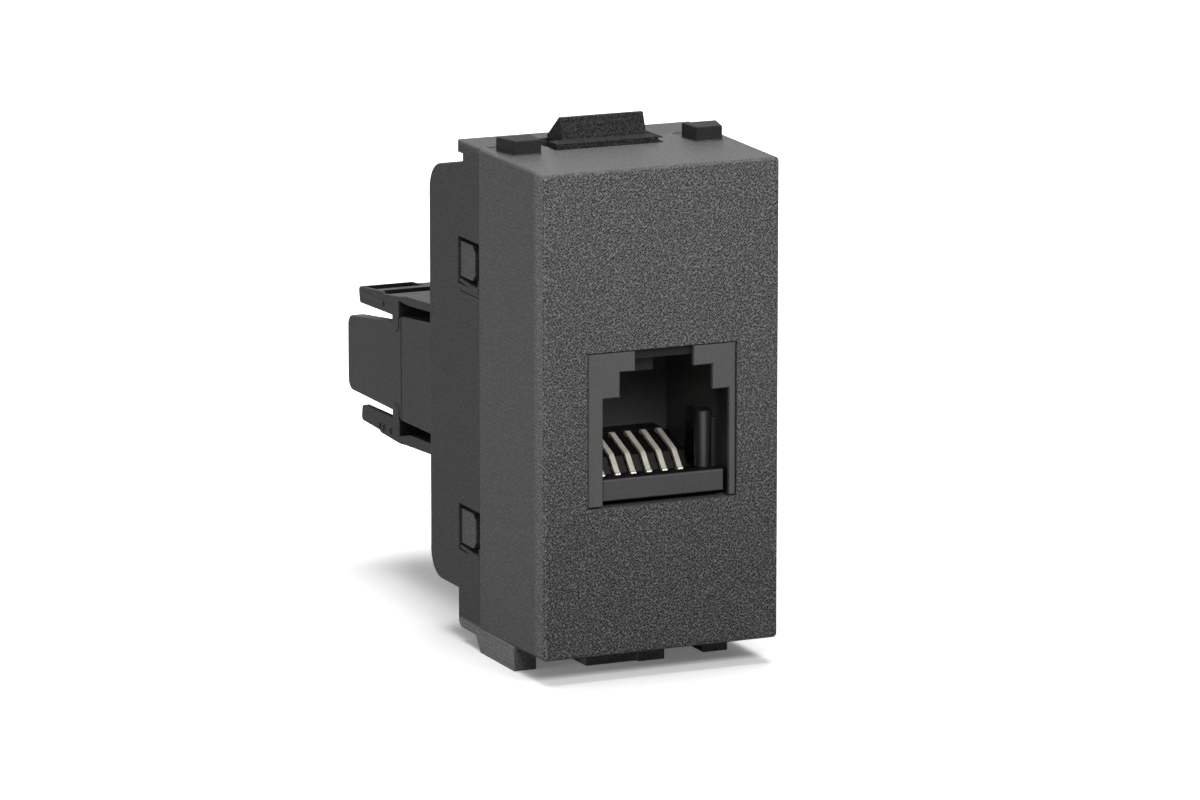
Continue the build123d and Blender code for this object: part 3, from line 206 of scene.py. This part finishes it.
class EffectGroups:
    """Shader node groups that several finishes share, each built once."""

    def __init__(self) -> None:
        """Build every group."""
        self.grain = self._grain()
        self.mottle = self._mottle()
        self.front_skin = self._front_skin()
        self.tone_step = self._tone_step()
        self.edge = self._edge()

    @staticmethod
    def _new(name: str, inputs: dict[str, float], outputs: dict[str, str]) -> GroupParts:
        """Make an empty group with named float inputs and named outputs.

        Args:
            name: The group's name.
            inputs: Input names with their default values.
            outputs: Output names with their socket types.

        Returns:
            The group, its bench, its input node and its output node.
        """
        group = bpy.data.node_groups.new(name, "ShaderNodeTree")
        for label, default in inputs.items():
            socket = group.interface.new_socket(label, in_out="INPUT", socket_type="NodeSocketFloat")
            socket.default_value = default
        for label, kind in outputs.items():
            group.interface.new_socket(label, in_out="OUTPUT", socket_type=kind)
        bench = NodeBench(group)
        return group, bench, bench.add("NodeGroupInput"), bench.add("NodeGroupOutput")

    def _grain(self) -> bpy.types.NodeTree:
        """Spark-eroded grain: evenly spread pits, slightly warped, as a height."""
        group, bench, given, result = self._new(
            "spark_grain", {"Cells": 3000.0, "Fine": 0.2, "Disorder": 0.6}, {"Height": "NodeSocketFloat"}
        )
        place = bench.add("ShaderNodeTexCoord").outputs["Object"]
        turned = bench.add("ShaderNodeMapping", Vector=place, Rotation=GRAIN_TURN)
        scaled = bench.vectors("SCALE", turned.outputs[0], given.outputs["Cells"]).outputs[0]
        warp = bench.add("ShaderNodeTexNoise", Vector=scaled, Scale=DRIFT_SCALE, Detail=GRAIN_DETAIL)
        drift = bench.vectors("SCALE", warp.outputs["Color"], GRAIN_DRIFT)
        moved = bench.vectors("ADD", scaled, drift.outputs[0])
        cells = bench.add(
            "ShaderNodeTexVoronoi", {"feature": "F1"}, Vector=moved.outputs[0],
            Scale=1.0, Randomness=given.outputs["Disorder"],
        )
        fine = bench.add("ShaderNodeTexNoise", Vector=scaled, Scale=FINE_SCALE, Detail=GRAIN_DETAIL)
        fine_part = bench.maths("MULTIPLY", fine.outputs["Fac"], given.outputs["Fine"])
        bench.join(bench.maths("ADD", cells.outputs["Distance"], fine_part), result.inputs["Height"])
        return group

    def _mottle(self) -> bpy.types.NodeTree:
        """Slow variation of tone and gloss over a moulding."""
        group, bench, given, result = self._new(
            "moulding_mottle", {"Scale": 120.0, "Amount": 0.1}, {"Value": "NodeSocketFloat"}
        )
        place = bench.add("ShaderNodeTexCoord").outputs["Object"]
        cloud = bench.add("ShaderNodeTexNoise", Vector=place, Scale=given.outputs["Scale"], Detail=CLOUD_DETAIL)
        centred = bench.maths("SUBTRACT", cloud.outputs["Fac"], NOISE_MIDDLE)
        bench.join(bench.maths("MULTIPLY", centred, given.outputs["Amount"]), result.inputs["Value"])
        return group

    def _front_skin(self) -> bpy.types.NodeTree:
        """Masks of the skin just behind the front: where it is grained, its side faces and its rounded rim."""
        group, bench, given, result = self._new(
            "front_skin", {"From": 1.2 * MM, "To": 2.6 * MM},
            {"Grained": "NodeSocketFloat", "Side": "NodeSocketFloat", "Rim": "NodeSocketFloat"},
        )
        coordinates = bench.add("ShaderNodeTexCoord")
        place = bench.add("ShaderNodeSeparateXYZ", Vector=coordinates.outputs["Object"])
        normal = bench.add("ShaderNodeSeparateXYZ", Vector=coordinates.outputs["Normal"])
        skin = bench.add(
            "ShaderNodeMapRange", {"interpolation_type": "SMOOTHSTEP"}, Value=place.outputs["Y"],
            From_Min=given.outputs["From"], From_Max=given.outputs["To"], To_Min=1.0, To_Max=0.0,
        ).outputs["Result"]
        sideways = bench.maths("ABSOLUTE", normal.outputs["X"])
        upwards = bench.maths("MAXIMUM", normal.outputs["Z"], 0.0)
        forwards = bench.maths("MAXIMUM", bench.maths("MULTIPLY", normal.outputs["Y"], -1.0), 0.0)
        turned = bench.maths("MULTIPLY", bench.maths("ADD", sideways, upwards), forwards)
        grained = bench.maths("MULTIPLY", skin, bench.maths("SUBTRACT", 1.0, upwards))
        bench.join(grained, result.inputs["Grained"])
        bench.join(bench.maths("MULTIPLY", skin, sideways), result.inputs["Side"])
        bench.join(bench.maths("MULTIPLY", turned, RIM_GAIN, clamp=True), result.inputs["Rim"])
        return group

    def _tone_step(self) -> bpy.types.NodeTree:
        """Factor that goes from one value to another at a place along an axis."""
        group, bench, given, result = self._new(
            "tone_step", {"Place": 0.0, "Level": 0.0, "Blend": 0.2 * MM, "Before": 1.0, "After": 1.0},
            {"Factor": "NodeSocketFloat"},
        )
        step = bench.add(
            "ShaderNodeMapRange", {"interpolation_type": "SMOOTHSTEP"}, Value=given.outputs["Place"],
            From_Min=bench.maths("SUBTRACT", given.outputs["Level"], given.outputs["Blend"]),
            From_Max=bench.maths("ADD", given.outputs["Level"], given.outputs["Blend"]),
            To_Min=given.outputs["Before"], To_Max=given.outputs["After"],
        )
        bench.join(step.outputs["Result"], result.inputs["Factor"])
        return group

    def _edge(self) -> bpy.types.NodeTree:
        """Rounded normal of sharp moulded edges, and a mask that is one on such an edge."""
        group, bench, given, result = self._new(
            "soft_edge", {"Radius": 0.1 * MM}, {"Normal": "NodeSocketVector", "Mask": "NodeSocketFloat"}
        )
        rounded = bench.add("ShaderNodeBevel", {"samples": BEVEL_SAMPLES}, Radius=given.outputs["Radius"])
        flat = bench.add("ShaderNodeNewGeometry").outputs["True Normal"]
        along = bench.vectors("DOT_PRODUCT", rounded.outputs["Normal"], flat)
        away = bench.maths("SUBTRACT", 1.0, along.outputs["Value"])
        bench.join(bench.maths("MULTIPLY", away, EDGE_GAIN, clamp=True), result.inputs["Mask"])
        bench.join(rounded.outputs["Normal"], result.inputs["Normal"])
        return group


@dataclass(frozen=True)
class ToneStep:
    """Step of tone at a place along an axis, used to paint light and shade and to make the nubs darker.

    The tone is multiplied by before up to the level and by after past it, and goes from one to
    the other over blend to both sides.
    """

    along: Along
    level: float
    before: float = 1.0
    after: float = 1.0
    blend: float = 0.15 * MM

    def factor(self, bench: NodeBench, groups: EffectGroups) -> bpy.types.NodeSocket:
        """Add the step to a material.

        Args:
            bench: The material's bench.
            groups: The shared shader node groups.

        Returns:
            The output socket of the tone factor.
        """
        place = bench.add("ShaderNodeTexCoord").outputs["Object"]
        parts = bench.add("ShaderNodeSeparateXYZ", Vector=place)
        step = bench.add(
            "ShaderNodeGroup", {"node_tree": groups.tone_step}, Place=parts.outputs[self.along.value],
            Level=self.level, Blend=self.blend, Before=self.before, After=self.after,
        )
        return step.outputs["Factor"]


@dataclass(frozen=True)
class MouldedPlastic:
    """Finish of a moulded thermoplastic piece.

    The grain is the coarse spark-eroded one and the skin the fine one that every piece has. Cells
    are counted per metre, and reliefs and radii are lengths. The lifts and the contrast are shares
    of the tone. The lift of broken edges and the sheen on the beads are painted highlights; the dip
    at the rim and the fade low on the front are painted shade.
    """

    name: str
    tone: tuple[float, float, float]
    roughness: float
    ior: float = 1.3
    grain: GrainPlace = GrainPlace.NONE
    grain_cells: float = 5000.0
    grain_relief: float = 0.1 * MM
    grain_contrast: float = 5.4
    grain_mean: float = 0.51
    skin_cells: float = 4500.0
    skin_relief: float = 0.012 * MM
    skin_contrast: float = 1.6
    skin_fine: float = 0.5
    mottle_scale: float = 90.0
    mottle_amount: float = 0.16
    mottle_gloss: float = 0.4
    edge_radius: float = 0.12 * MM
    painted_edge_highlight: float = 0.35
    side_lift: float = 0.5
    rim_painted_shade: float = 0.5
    front_painted_shade: float = 0.24
    bead_painted_highlight: float = 0.0
    darkest: float = 0.12
    steps: tuple[ToneStep, ...] = ()

    def build(self, groups: EffectGroups) -> bpy.types.Material:
        """Build the material.

        Args:
            groups: The shared shader node groups.

        Returns:
            The finished material.
        """
        material, bench, surface = blank_material(self.name)
        shader = bench.add("ShaderNodeBsdfPrincipled", IOR=self.ior)
        bench.join(shader.outputs[0], surface)
        edge = bench.add("ShaderNodeGroup", {"node_tree": groups.edge}, Radius=self.edge_radius)
        mottle = bench.add(
            "ShaderNodeGroup", {"node_tree": groups.mottle}, Scale=self.mottle_scale, Amount=self.mottle_amount
        )
        skin = bench.add(
            "ShaderNodeGroup", {"node_tree": groups.grain}, Cells=self.skin_cells, Fine=self.skin_fine
        )
        bump = bench.add(
            "ShaderNodeBump", Strength=1.0, Distance=self.skin_relief,
            Height=skin.outputs["Height"], Normal=edge.outputs["Normal"],
        )
        normal = bump.outputs["Normal"]
        shade = bench.maths("ADD", 1.0, mottle.outputs["Value"])
        speckle = bench.maths("SUBTRACT", skin.outputs["Height"], self.grain_mean)
        shade = bench.maths("ADD", shade, bench.maths("MULTIPLY", speckle, self.skin_contrast))
        if self.grain is not GrainPlace.NONE:
            normal, shade = self._grained(bench, groups, normal, shade)
        # Painted highlight: broken edges lighter in tone.
        lift = bench.maths("MULTIPLY", edge.outputs["Mask"], self.painted_edge_highlight)
        shade = bench.maths("ADD", shade, lift)
        # Painted highlight: a narrow lighter band on the faces turned the highlight's way.
        if self.bead_painted_highlight:
            way = bench.add("ShaderNodeTexCoord").outputs["Normal"]
            facing = bench.maths("MAXIMUM", bench.vectors("DOT_PRODUCT", way, HIGHLIGHT_WAY).outputs["Value"], 0.0)
            narrow = bench.maths("POWER", facing, HIGHLIGHT_POWER)
            shade = bench.maths("ADD", shade, bench.maths("MULTIPLY", narrow, self.bead_painted_highlight))
        for step in self.steps:
            shade = bench.maths("MULTIPLY", shade, step.factor(bench, groups))
        bench.join(bench.tinted(self.tone, shade), shader.inputs["Base Color"])
        rough = bench.maths("MULTIPLY_ADD", mottle.outputs["Value"], self.mottle_gloss, self.roughness)
        bench.join(rough, shader.inputs["Roughness"])
        bench.join(normal, shader.inputs["Normal"])
        return material

    def _grained(
        self, bench: NodeBench, groups: EffectGroups, normal: bpy.types.NodeSocket, shade: bpy.types.NodeSocket
    ) -> tuple[bpy.types.NodeSocket, bpy.types.NodeSocket]:
        """Add the coarse grain to the normal and the tone.

        Args:
            bench: The material's bench.
            groups: The shared shader node groups.
            normal: The normal so far.
            shade: The tone factor so far.

        Returns:
            The new normal and tone factor.
        """
        grain = bench.add("ShaderNodeGroup", {"node_tree": groups.grain}, Cells=self.grain_cells)
        height = bench.maths("SUBTRACT", grain.outputs["Height"], self.grain_mean)
        if self.grain is GrainPlace.FRONT:
            skin = bench.add("ShaderNodeGroup", {"node_tree": groups.front_skin})
            height = bench.maths("MULTIPLY", height, skin.outputs["Grained"])
            lift = bench.maths("MULTIPLY", skin.outputs["Side"], self.side_lift)
            # Painted shade: a dark line on the front's rounded rim.
            dip = bench.maths("MULTIPLY", skin.outputs["Rim"], self.rim_painted_shade)
            shade = bench.maths("SUBTRACT", bench.maths("ADD", shade, lift), dip)
            # Painted shade: the grained front darker towards its bottom, below the level of the fall.
            low = ToneStep(Along.HEIGHT, PAINTED_SHADE_LEVEL, before=1.0, after=0.0, blend=PAINTED_SHADE_REACH)
            painted_shade_mask = bench.maths("MULTIPLY", low.factor(bench, groups), skin.outputs["Grained"])
            shade = bench.maths("SUBTRACT", shade, bench.maths("MULTIPLY", painted_shade_mask, self.front_painted_shade))
        bump = bench.add("ShaderNodeBump", Strength=1.0, Distance=self.grain_relief, Height=height, Normal=normal)
        toned = bench.maths("ADD", shade, bench.maths("MULTIPLY", height, self.grain_contrast))
        return bump.outputs["Normal"], bench.maths("MAXIMUM", toned, self.darkest)


@dataclass(frozen=True)
class PlatedMetal:
    """Finish of a thin plated metal strip, cloudy and with fine lines from drawing."""

    name: str
    tone: tuple[float, float, float]
    roughness: float
    metallic: float = 1.0
    drawn_lines: float = 6000.0
    line_relief: float = 0.002 * MM
    line_fine: float = 0.8
    mottle_scale: float = 900.0
    mottle_amount: float = 0.3

    def build(self, groups: EffectGroups) -> bpy.types.Material:
        """Build the material.

        Args:
            groups: The shared shader node groups.

        Returns:
            The finished material.
        """
        material, bench, surface = blank_material(self.name)
        shader = bench.add("ShaderNodeBsdfPrincipled", Metallic=self.metallic)
        bench.join(shader.outputs[0], surface)
        mottle = bench.add(
            "ShaderNodeGroup", {"node_tree": groups.mottle}, Scale=self.mottle_scale, Amount=self.mottle_amount
        )
        lines = bench.add(
            "ShaderNodeGroup", {"node_tree": groups.grain}, Cells=self.drawn_lines, Fine=self.line_fine
        )
        bump = bench.add(
            "ShaderNodeBump", Strength=1.0, Distance=self.line_relief, Height=lines.outputs["Height"]
        )
        shade = bench.maths("ADD", 1.0, mottle.outputs["Value"])
        bench.join(bench.tinted(self.tone, shade), shader.inputs["Base Color"])
        worn = bench.maths("ADD", self.roughness, mottle.outputs["Value"])
        bench.join(worn, shader.inputs["Roughness"])
        bench.join(bump.outputs["Normal"], shader.inputs["Normal"])
        return material


@dataclass(frozen=True)
class StudioCamera:
    """Camera at the photograph's angle: its turn, height and distance."""

    turn_deg: float = -24.11
    height_deg: float = 12.07
    place: tuple[float, float, float] = (-274.33 * MM, -599.11 * MM, 141.81 * MM)
    focal_px: float = 7410.2
    frame_px: float = 1200.0
    sensor_mm: float = 36.0

    def set_up(self) -> None:
        """Create the camera and make it the scene's own."""
        data = bpy.data.cameras.new("studio_camera")
        data.sensor_width = self.sensor_mm
        data.lens = self.focal_px / self.frame_px * self.sensor_mm
        camera = bpy.data.objects.new("studio_camera", data)
        bpy.context.scene.collection.objects.link(camera)
        camera.location = self.place
        camera.rotation_euler = (math.radians(90.0 - self.height_deg), 0.0, math.radians(self.turn_deg))
        bpy.context.scene.camera = camera


@dataclass(frozen=True)
class SoftBox:
    """One large soft lamp: its place, what it looks at, its sides and its power."""

    name: str
    place: tuple[float, float, float]
    target: tuple[float, float, float]
    width: float
    depth: float
    power: float

    def hang(self) -> None:
        """Create the lamp, turned to its target."""
        data = bpy.data.lights.new(self.name, "AREA")
        data.shape = "RECTANGLE"
        data.size = self.width
        data.size_y = self.depth
        data.energy = self.power
        lamp = bpy.data.objects.new(self.name, data)
        bpy.context.scene.collection.objects.link(lamp)
        lamp.location = self.place
        way = Vector(self.target) - Vector(self.place)
        lamp.rotation_euler = way.to_track_quat("-Z", "Y").to_euler()


SOFT_BOXES = (
    SoftBox("near_box", (0.0, -0.11, 0.075), (0.0, 0.0, 0.075), 0.12, 0.06, 0.185),
    SoftBox("overhead_box", (0.02, 0.06, 0.40), (0.0, 0.01, 0.0), 0.30, 0.24, 1.95),
    SoftBox("left_box", (-0.35, 0.0, 0.0), (0.0, 0.02, 0.0), 0.20, 0.20, 0.58),
    SoftBox("back_box", (-0.03, 0.50, 0.22), (0.0, 0.0, 0.02), 0.60, 0.30, 0.45),
)


@dataclass(frozen=True)
class Studio:
    """Pale floor under the object, pale surroundings and soft lamps.

    The floor and the surroundings are white to the camera, and seen in a reflection by
    mirrored_share of the way to white. The floor's own glow grows from near to far.
    """

    floor_half: float = 3.0
    floor_seen: float = 0.95
    floor_bounce: float = 0.2
    near_glow: float = 0.13
    far_glow: float = 0.8
    glow_near: float = 30.0 * MM
    glow_far: float = 150.0 * MM
    backdrop: float = 1.0
    ambient: float = 0.15
    mirrored_share: float = 0.25

    def build(self, floor_level: float) -> None:
        """Build the floor, the surroundings and the lamps.

        Args:
            floor_level: Height of the floor, where the feet of the object stand.
        """
        self._floor(floor_level)
        self._surroundings()
        for box in SOFT_BOXES:
            box.hang()

    def _floor(self, floor_level: float) -> None:
        """Make the pale floor, white to the camera with the object's shadow and darker as a reflector.

        Args:
            floor_level: Height of the floor.
        """
        form = bmesh.new()
        place = Matrix.Translation((0.0, 0.0, floor_level))
        bmesh.ops.create_grid(form, x_segments=1, y_segments=1, size=self.floor_half, matrix=place)
        mesh = bpy.data.meshes.new("studio_floor")
        form.to_mesh(mesh)
        form.free()
        floor = bpy.data.objects.new("studio_floor", mesh)
        bpy.context.scene.collection.objects.link(floor)
        material, bench, surface = blank_material("studio_floor")
        seen = self._seen(bench)
        tone = bench.add("ShaderNodeMapRange", Value=seen, To_Min=self.floor_bounce, To_Max=self.floor_seen)
        matt = bench.add("ShaderNodeBsdfDiffuse", Color=tone.outputs["Result"])
        spot = bench.add("ShaderNodeTexCoord").outputs["Object"]
        away = bench.add("ShaderNodeVectorMath", {"operation": "LENGTH"})
        bench.join(spot, away.inputs[0])
        reach = bench.add(
            "ShaderNodeMapRange", {"interpolation_type": "SMOOTHSTEP"}, Value=away.outputs["Value"],
            From_Min=self.glow_near, From_Max=self.glow_far, To_Min=self.near_glow, To_Max=self.far_glow,
        )
        strength = bench.maths("MULTIPLY", seen, reach.outputs["Result"])
        glow = bench.add("ShaderNodeEmission", Color=(1.0, 1.0, 1.0, 1.0), Strength=strength)
        both = bench.add("ShaderNodeAddShader")
        bench.join(matt.outputs[0], both.inputs[0])
        bench.join(glow.outputs[0], both.inputs[1])
        bench.join(both.outputs[0], surface)
        mesh.materials.append(material)

    def _surroundings(self) -> None:
        """Make the world white to the camera and plain soft light to the object."""
        world = bpy.data.worlds.new("studio")
        bpy.context.scene.world = world
        world.use_nodes = True
        bench = NodeBench(world.node_tree)
        output = bench.add("ShaderNodeOutputWorld")
        strength = bench.add(
            "ShaderNodeMapRange", Value=self._seen(bench), To_Min=self.ambient, To_Max=self.backdrop
        )
        light = bench.add("ShaderNodeBackground", Color=(1.0, 1.0, 1.0, 1.0), Strength=strength.outputs["Result"])
        bench.join(light.outputs[0], output.inputs["Surface"])

    def _seen(self, bench: NodeBench) -> bpy.types.NodeSocket:
        """How much the camera sees the point, directly, through a clear piece or in a reflection.

        Args:
            bench: The bench of the floor or the world.

        Returns:
            The output socket: one for the first two and the mirrored share for the last.
        """
        path = bench.add("ShaderNodeLightPath")
        mirrored = bench.maths("MULTIPLY", path.outputs["Is Glossy Ray"], self.mirrored_share)
        straight = bench.maths("MAXIMUM", path.outputs["Is Camera Ray"], path.outputs["Is Transmission Ray"])
        return bench.maths("MAXIMUM", straight, mirrored)


@dataclass(frozen=True)
class FootPad:
    """Pad that closes the slit between the left foot and the cover above it."""

    left: float = -11.85 * MM
    right: float = -9.65 * MM
    front: float = 6.7 * MM
    rear: float = 14.45 * MM
    bottom: float = -23.0 * MM
    top: float = -22.53 * MM
    edge: float = 0.06 * MM
    edge_steps: int = 2

    def build(self) -> bpy.types.Object:
        """Build the pad as a slab with broken edges.

        Returns:
            The pad, in place.
        """
        form = bmesh.new()
        low = Vector((self.left, self.front, self.bottom))
        high = Vector((self.right, self.rear, self.top))
        place = Matrix.Translation((low + high) / 2) @ Matrix.Diagonal((*(high - low), 1.0))
        bmesh.ops.create_cube(form, size=1.0, matrix=place)
        bmesh.ops.bevel(
            form, geom=form.edges[:], offset=self.edge, segments=self.edge_steps,
            profile=0.5, affect="EDGES", material=-1,
        )
        bmesh.ops.recalc_face_normals(form, faces=form.faces)
        mesh = bpy.data.meshes.new("foot_pad_left")
        form.to_mesh(mesh)
        form.free()
        pad = bpy.data.objects.new("foot_pad_left", mesh)
        bpy.context.scene.collection.objects.link(pad)
        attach(pad, "module")
        LOG.info("built %s", pad.name)
        return pad


@dataclass(frozen=True)
class Dressing:
    """Which finish goes on which fixed pieces."""

    finish: MouldedPlastic | PlatedMetal
    nodes: tuple[str, ...]

    def dress(self, groups: EffectGroups, built: dict[str, bpy.types.Object]) -> None:
        """Build the finish and give it to its pieces.

        Args:
            groups: The shared shader node groups.
            built: New pieces by name.
        """
        material = self.finish.build(groups)
        for name in self.nodes:
            piece = built.get(name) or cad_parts[name]
            piece.data.materials.clear()
            piece.data.materials.append(material)
            LOG.info("dressed %s in %s", name, material.name)


def row(stem: str, count: int) -> tuple[str, ...]:
    """Names of a numbered row of pieces."""
    return tuple(f"{stem}_{number}" for number in range(1, count + 1))


CONTACT_COUNT = 6
CONTACTS = row("contact", CONTACT_COUNT)
TERMINALS = row("idc_terminal", CONTACT_COUNT)

# Where tones change: the cover's upper edge, the nubs' feet, and the rear of the mouth's face and of its roof.
# The steps paint light on the flange's top and on the feet, paint shade in the mouth, and make the nubs darker.
COVER_TOP = 22.5 * MM
FLANGE_TOP = COVER_TOP - 0.3 * MM
NUB_FOOT = 22.72 * MM
MOUTH_REAR = 0.6 * MM
ROOF_REAR = 3.0 * MM
DRESSINGS = (
    Dressing(
        MouldedPlastic("cover_plastic", (0.060, 0.060, 0.0592), 0.5, grain=GrainPlace.FRONT, painted_edge_highlight=0.2),
        ("front_cover",),
    ),
    Dressing(
        MouldedPlastic(
            "frame_plastic", (0.038, 0.038, 0.038), 0.6, painted_edge_highlight=0.8,
            steps=(
                # Painted light: the flange's top lighter.
                ToneStep(Along.HEIGHT, FLANGE_TOP, after=1.5),
                # The nubs darker above their feet.
                ToneStep(Along.HEIGHT, NUB_FOOT, after=0.2, blend=0.06 * MM),
                # Painted light: the feet below the cover lighter, lifting their shade.
                ToneStep(Along.HEIGHT, -COVER_TOP, before=3.4),
            ),
        ),
        ("rear_frame", "foot_pad_left"),
    ),
    Dressing(
        MouldedPlastic(
            "latch_plastic", (0.012, 0.012, 0.012), 0.68, ior=1.2, grain=GrainPlace.ALL,
            grain_relief=0.05 * MM, painted_edge_highlight=6.0,
        ),
        ("top_latch",),
    ),
    Dressing(
        MouldedPlastic(
            "jack_plastic", (0.092, 0.092, 0.091), 0.36, skin_contrast=0.3, edge_radius=0.08 * MM,
            steps=(
                # Painted shade in the mouth: dark behind its face, lighter again behind the roof's rear.
                ToneStep(Along.DEPTH, MOUTH_REAR, after=0.14, blend=0.1 * MM),
                ToneStep(Along.DEPTH, ROOF_REAR, after=6.0, blend=1.0 * MM),
            ),
        ),
        ("jack_housing",),
    ),
    Dressing(
        MouldedPlastic(
            "carrier_plastic", (0.066, 0.066, 0.066), 0.45, skin_contrast=0.3, edge_radius=0.06 * MM,
            # Painted shade in the mouth: the carrier dark behind the mouth's face.
            steps=(ToneStep(Along.DEPTH, MOUTH_REAR, after=0.06),),
        ),
        ("contact_carrier",),
    ),
    Dressing(
        MouldedPlastic(
            "guide_plastic", (0.022, 0.022, 0.023), 0.25,
            skin_relief=0.001 * MM, skin_contrast=0.0, bead_painted_highlight=4.5,
        ),
        ("plug_guide_left", "plug_guide_right"),
    ),
    Dressing(
        MouldedPlastic("block_plastic", (0.031, 0.031, 0.031), 0.48, painted_edge_highlight=3.0),
        ("terminal_block", "wiring_cap"),
    ),
    Dressing(
        MouldedPlastic("upper_lever_plastic", (0.022, 0.022, 0.022), 0.46, painted_edge_highlight=2.0),
        ("upper_lever_left", "upper_lever_right"),
    ),
    # Painted shade: the lower levers darker than the upper ones.
    Dressing(
        MouldedPlastic("lower_lever_painted_shade_plastic", (0.017, 0.017, 0.017), 0.46, painted_edge_highlight=5.0),
        ("lower_lever_left", "lower_lever_right"),
    ),
    Dressing(MouldedPlastic("board_laminate", (0.03, 0.12, 0.07), 0.4), ("circuit_board",)),
    Dressing(PlatedMetal("pale_gold", (0.98, 0.93, 0.80), 0.36, metallic=0.5), CONTACTS),
    Dressing(PlatedMetal("tinned_bronze", (0.78, 0.76, 0.70), 0.3), (*TERMINALS, "lead_frame")),
)


def main() -> None:
    """Build the looks in order: camera, studio, then the finish of each piece."""
    logging.basicConfig(level=logging.INFO)
    bpy.context.scene.view_settings.view_transform = "Standard"
    StudioCamera().set_up()
    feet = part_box("rear_frame")[0]
    Studio().build(feet[2])
    pad = FootPad().build()
    groups = EffectGroups()
    for dressing in DRESSINGS:
        dressing.dress(groups, {pad.name: pad})


if __name__ == "__main__":
    main()
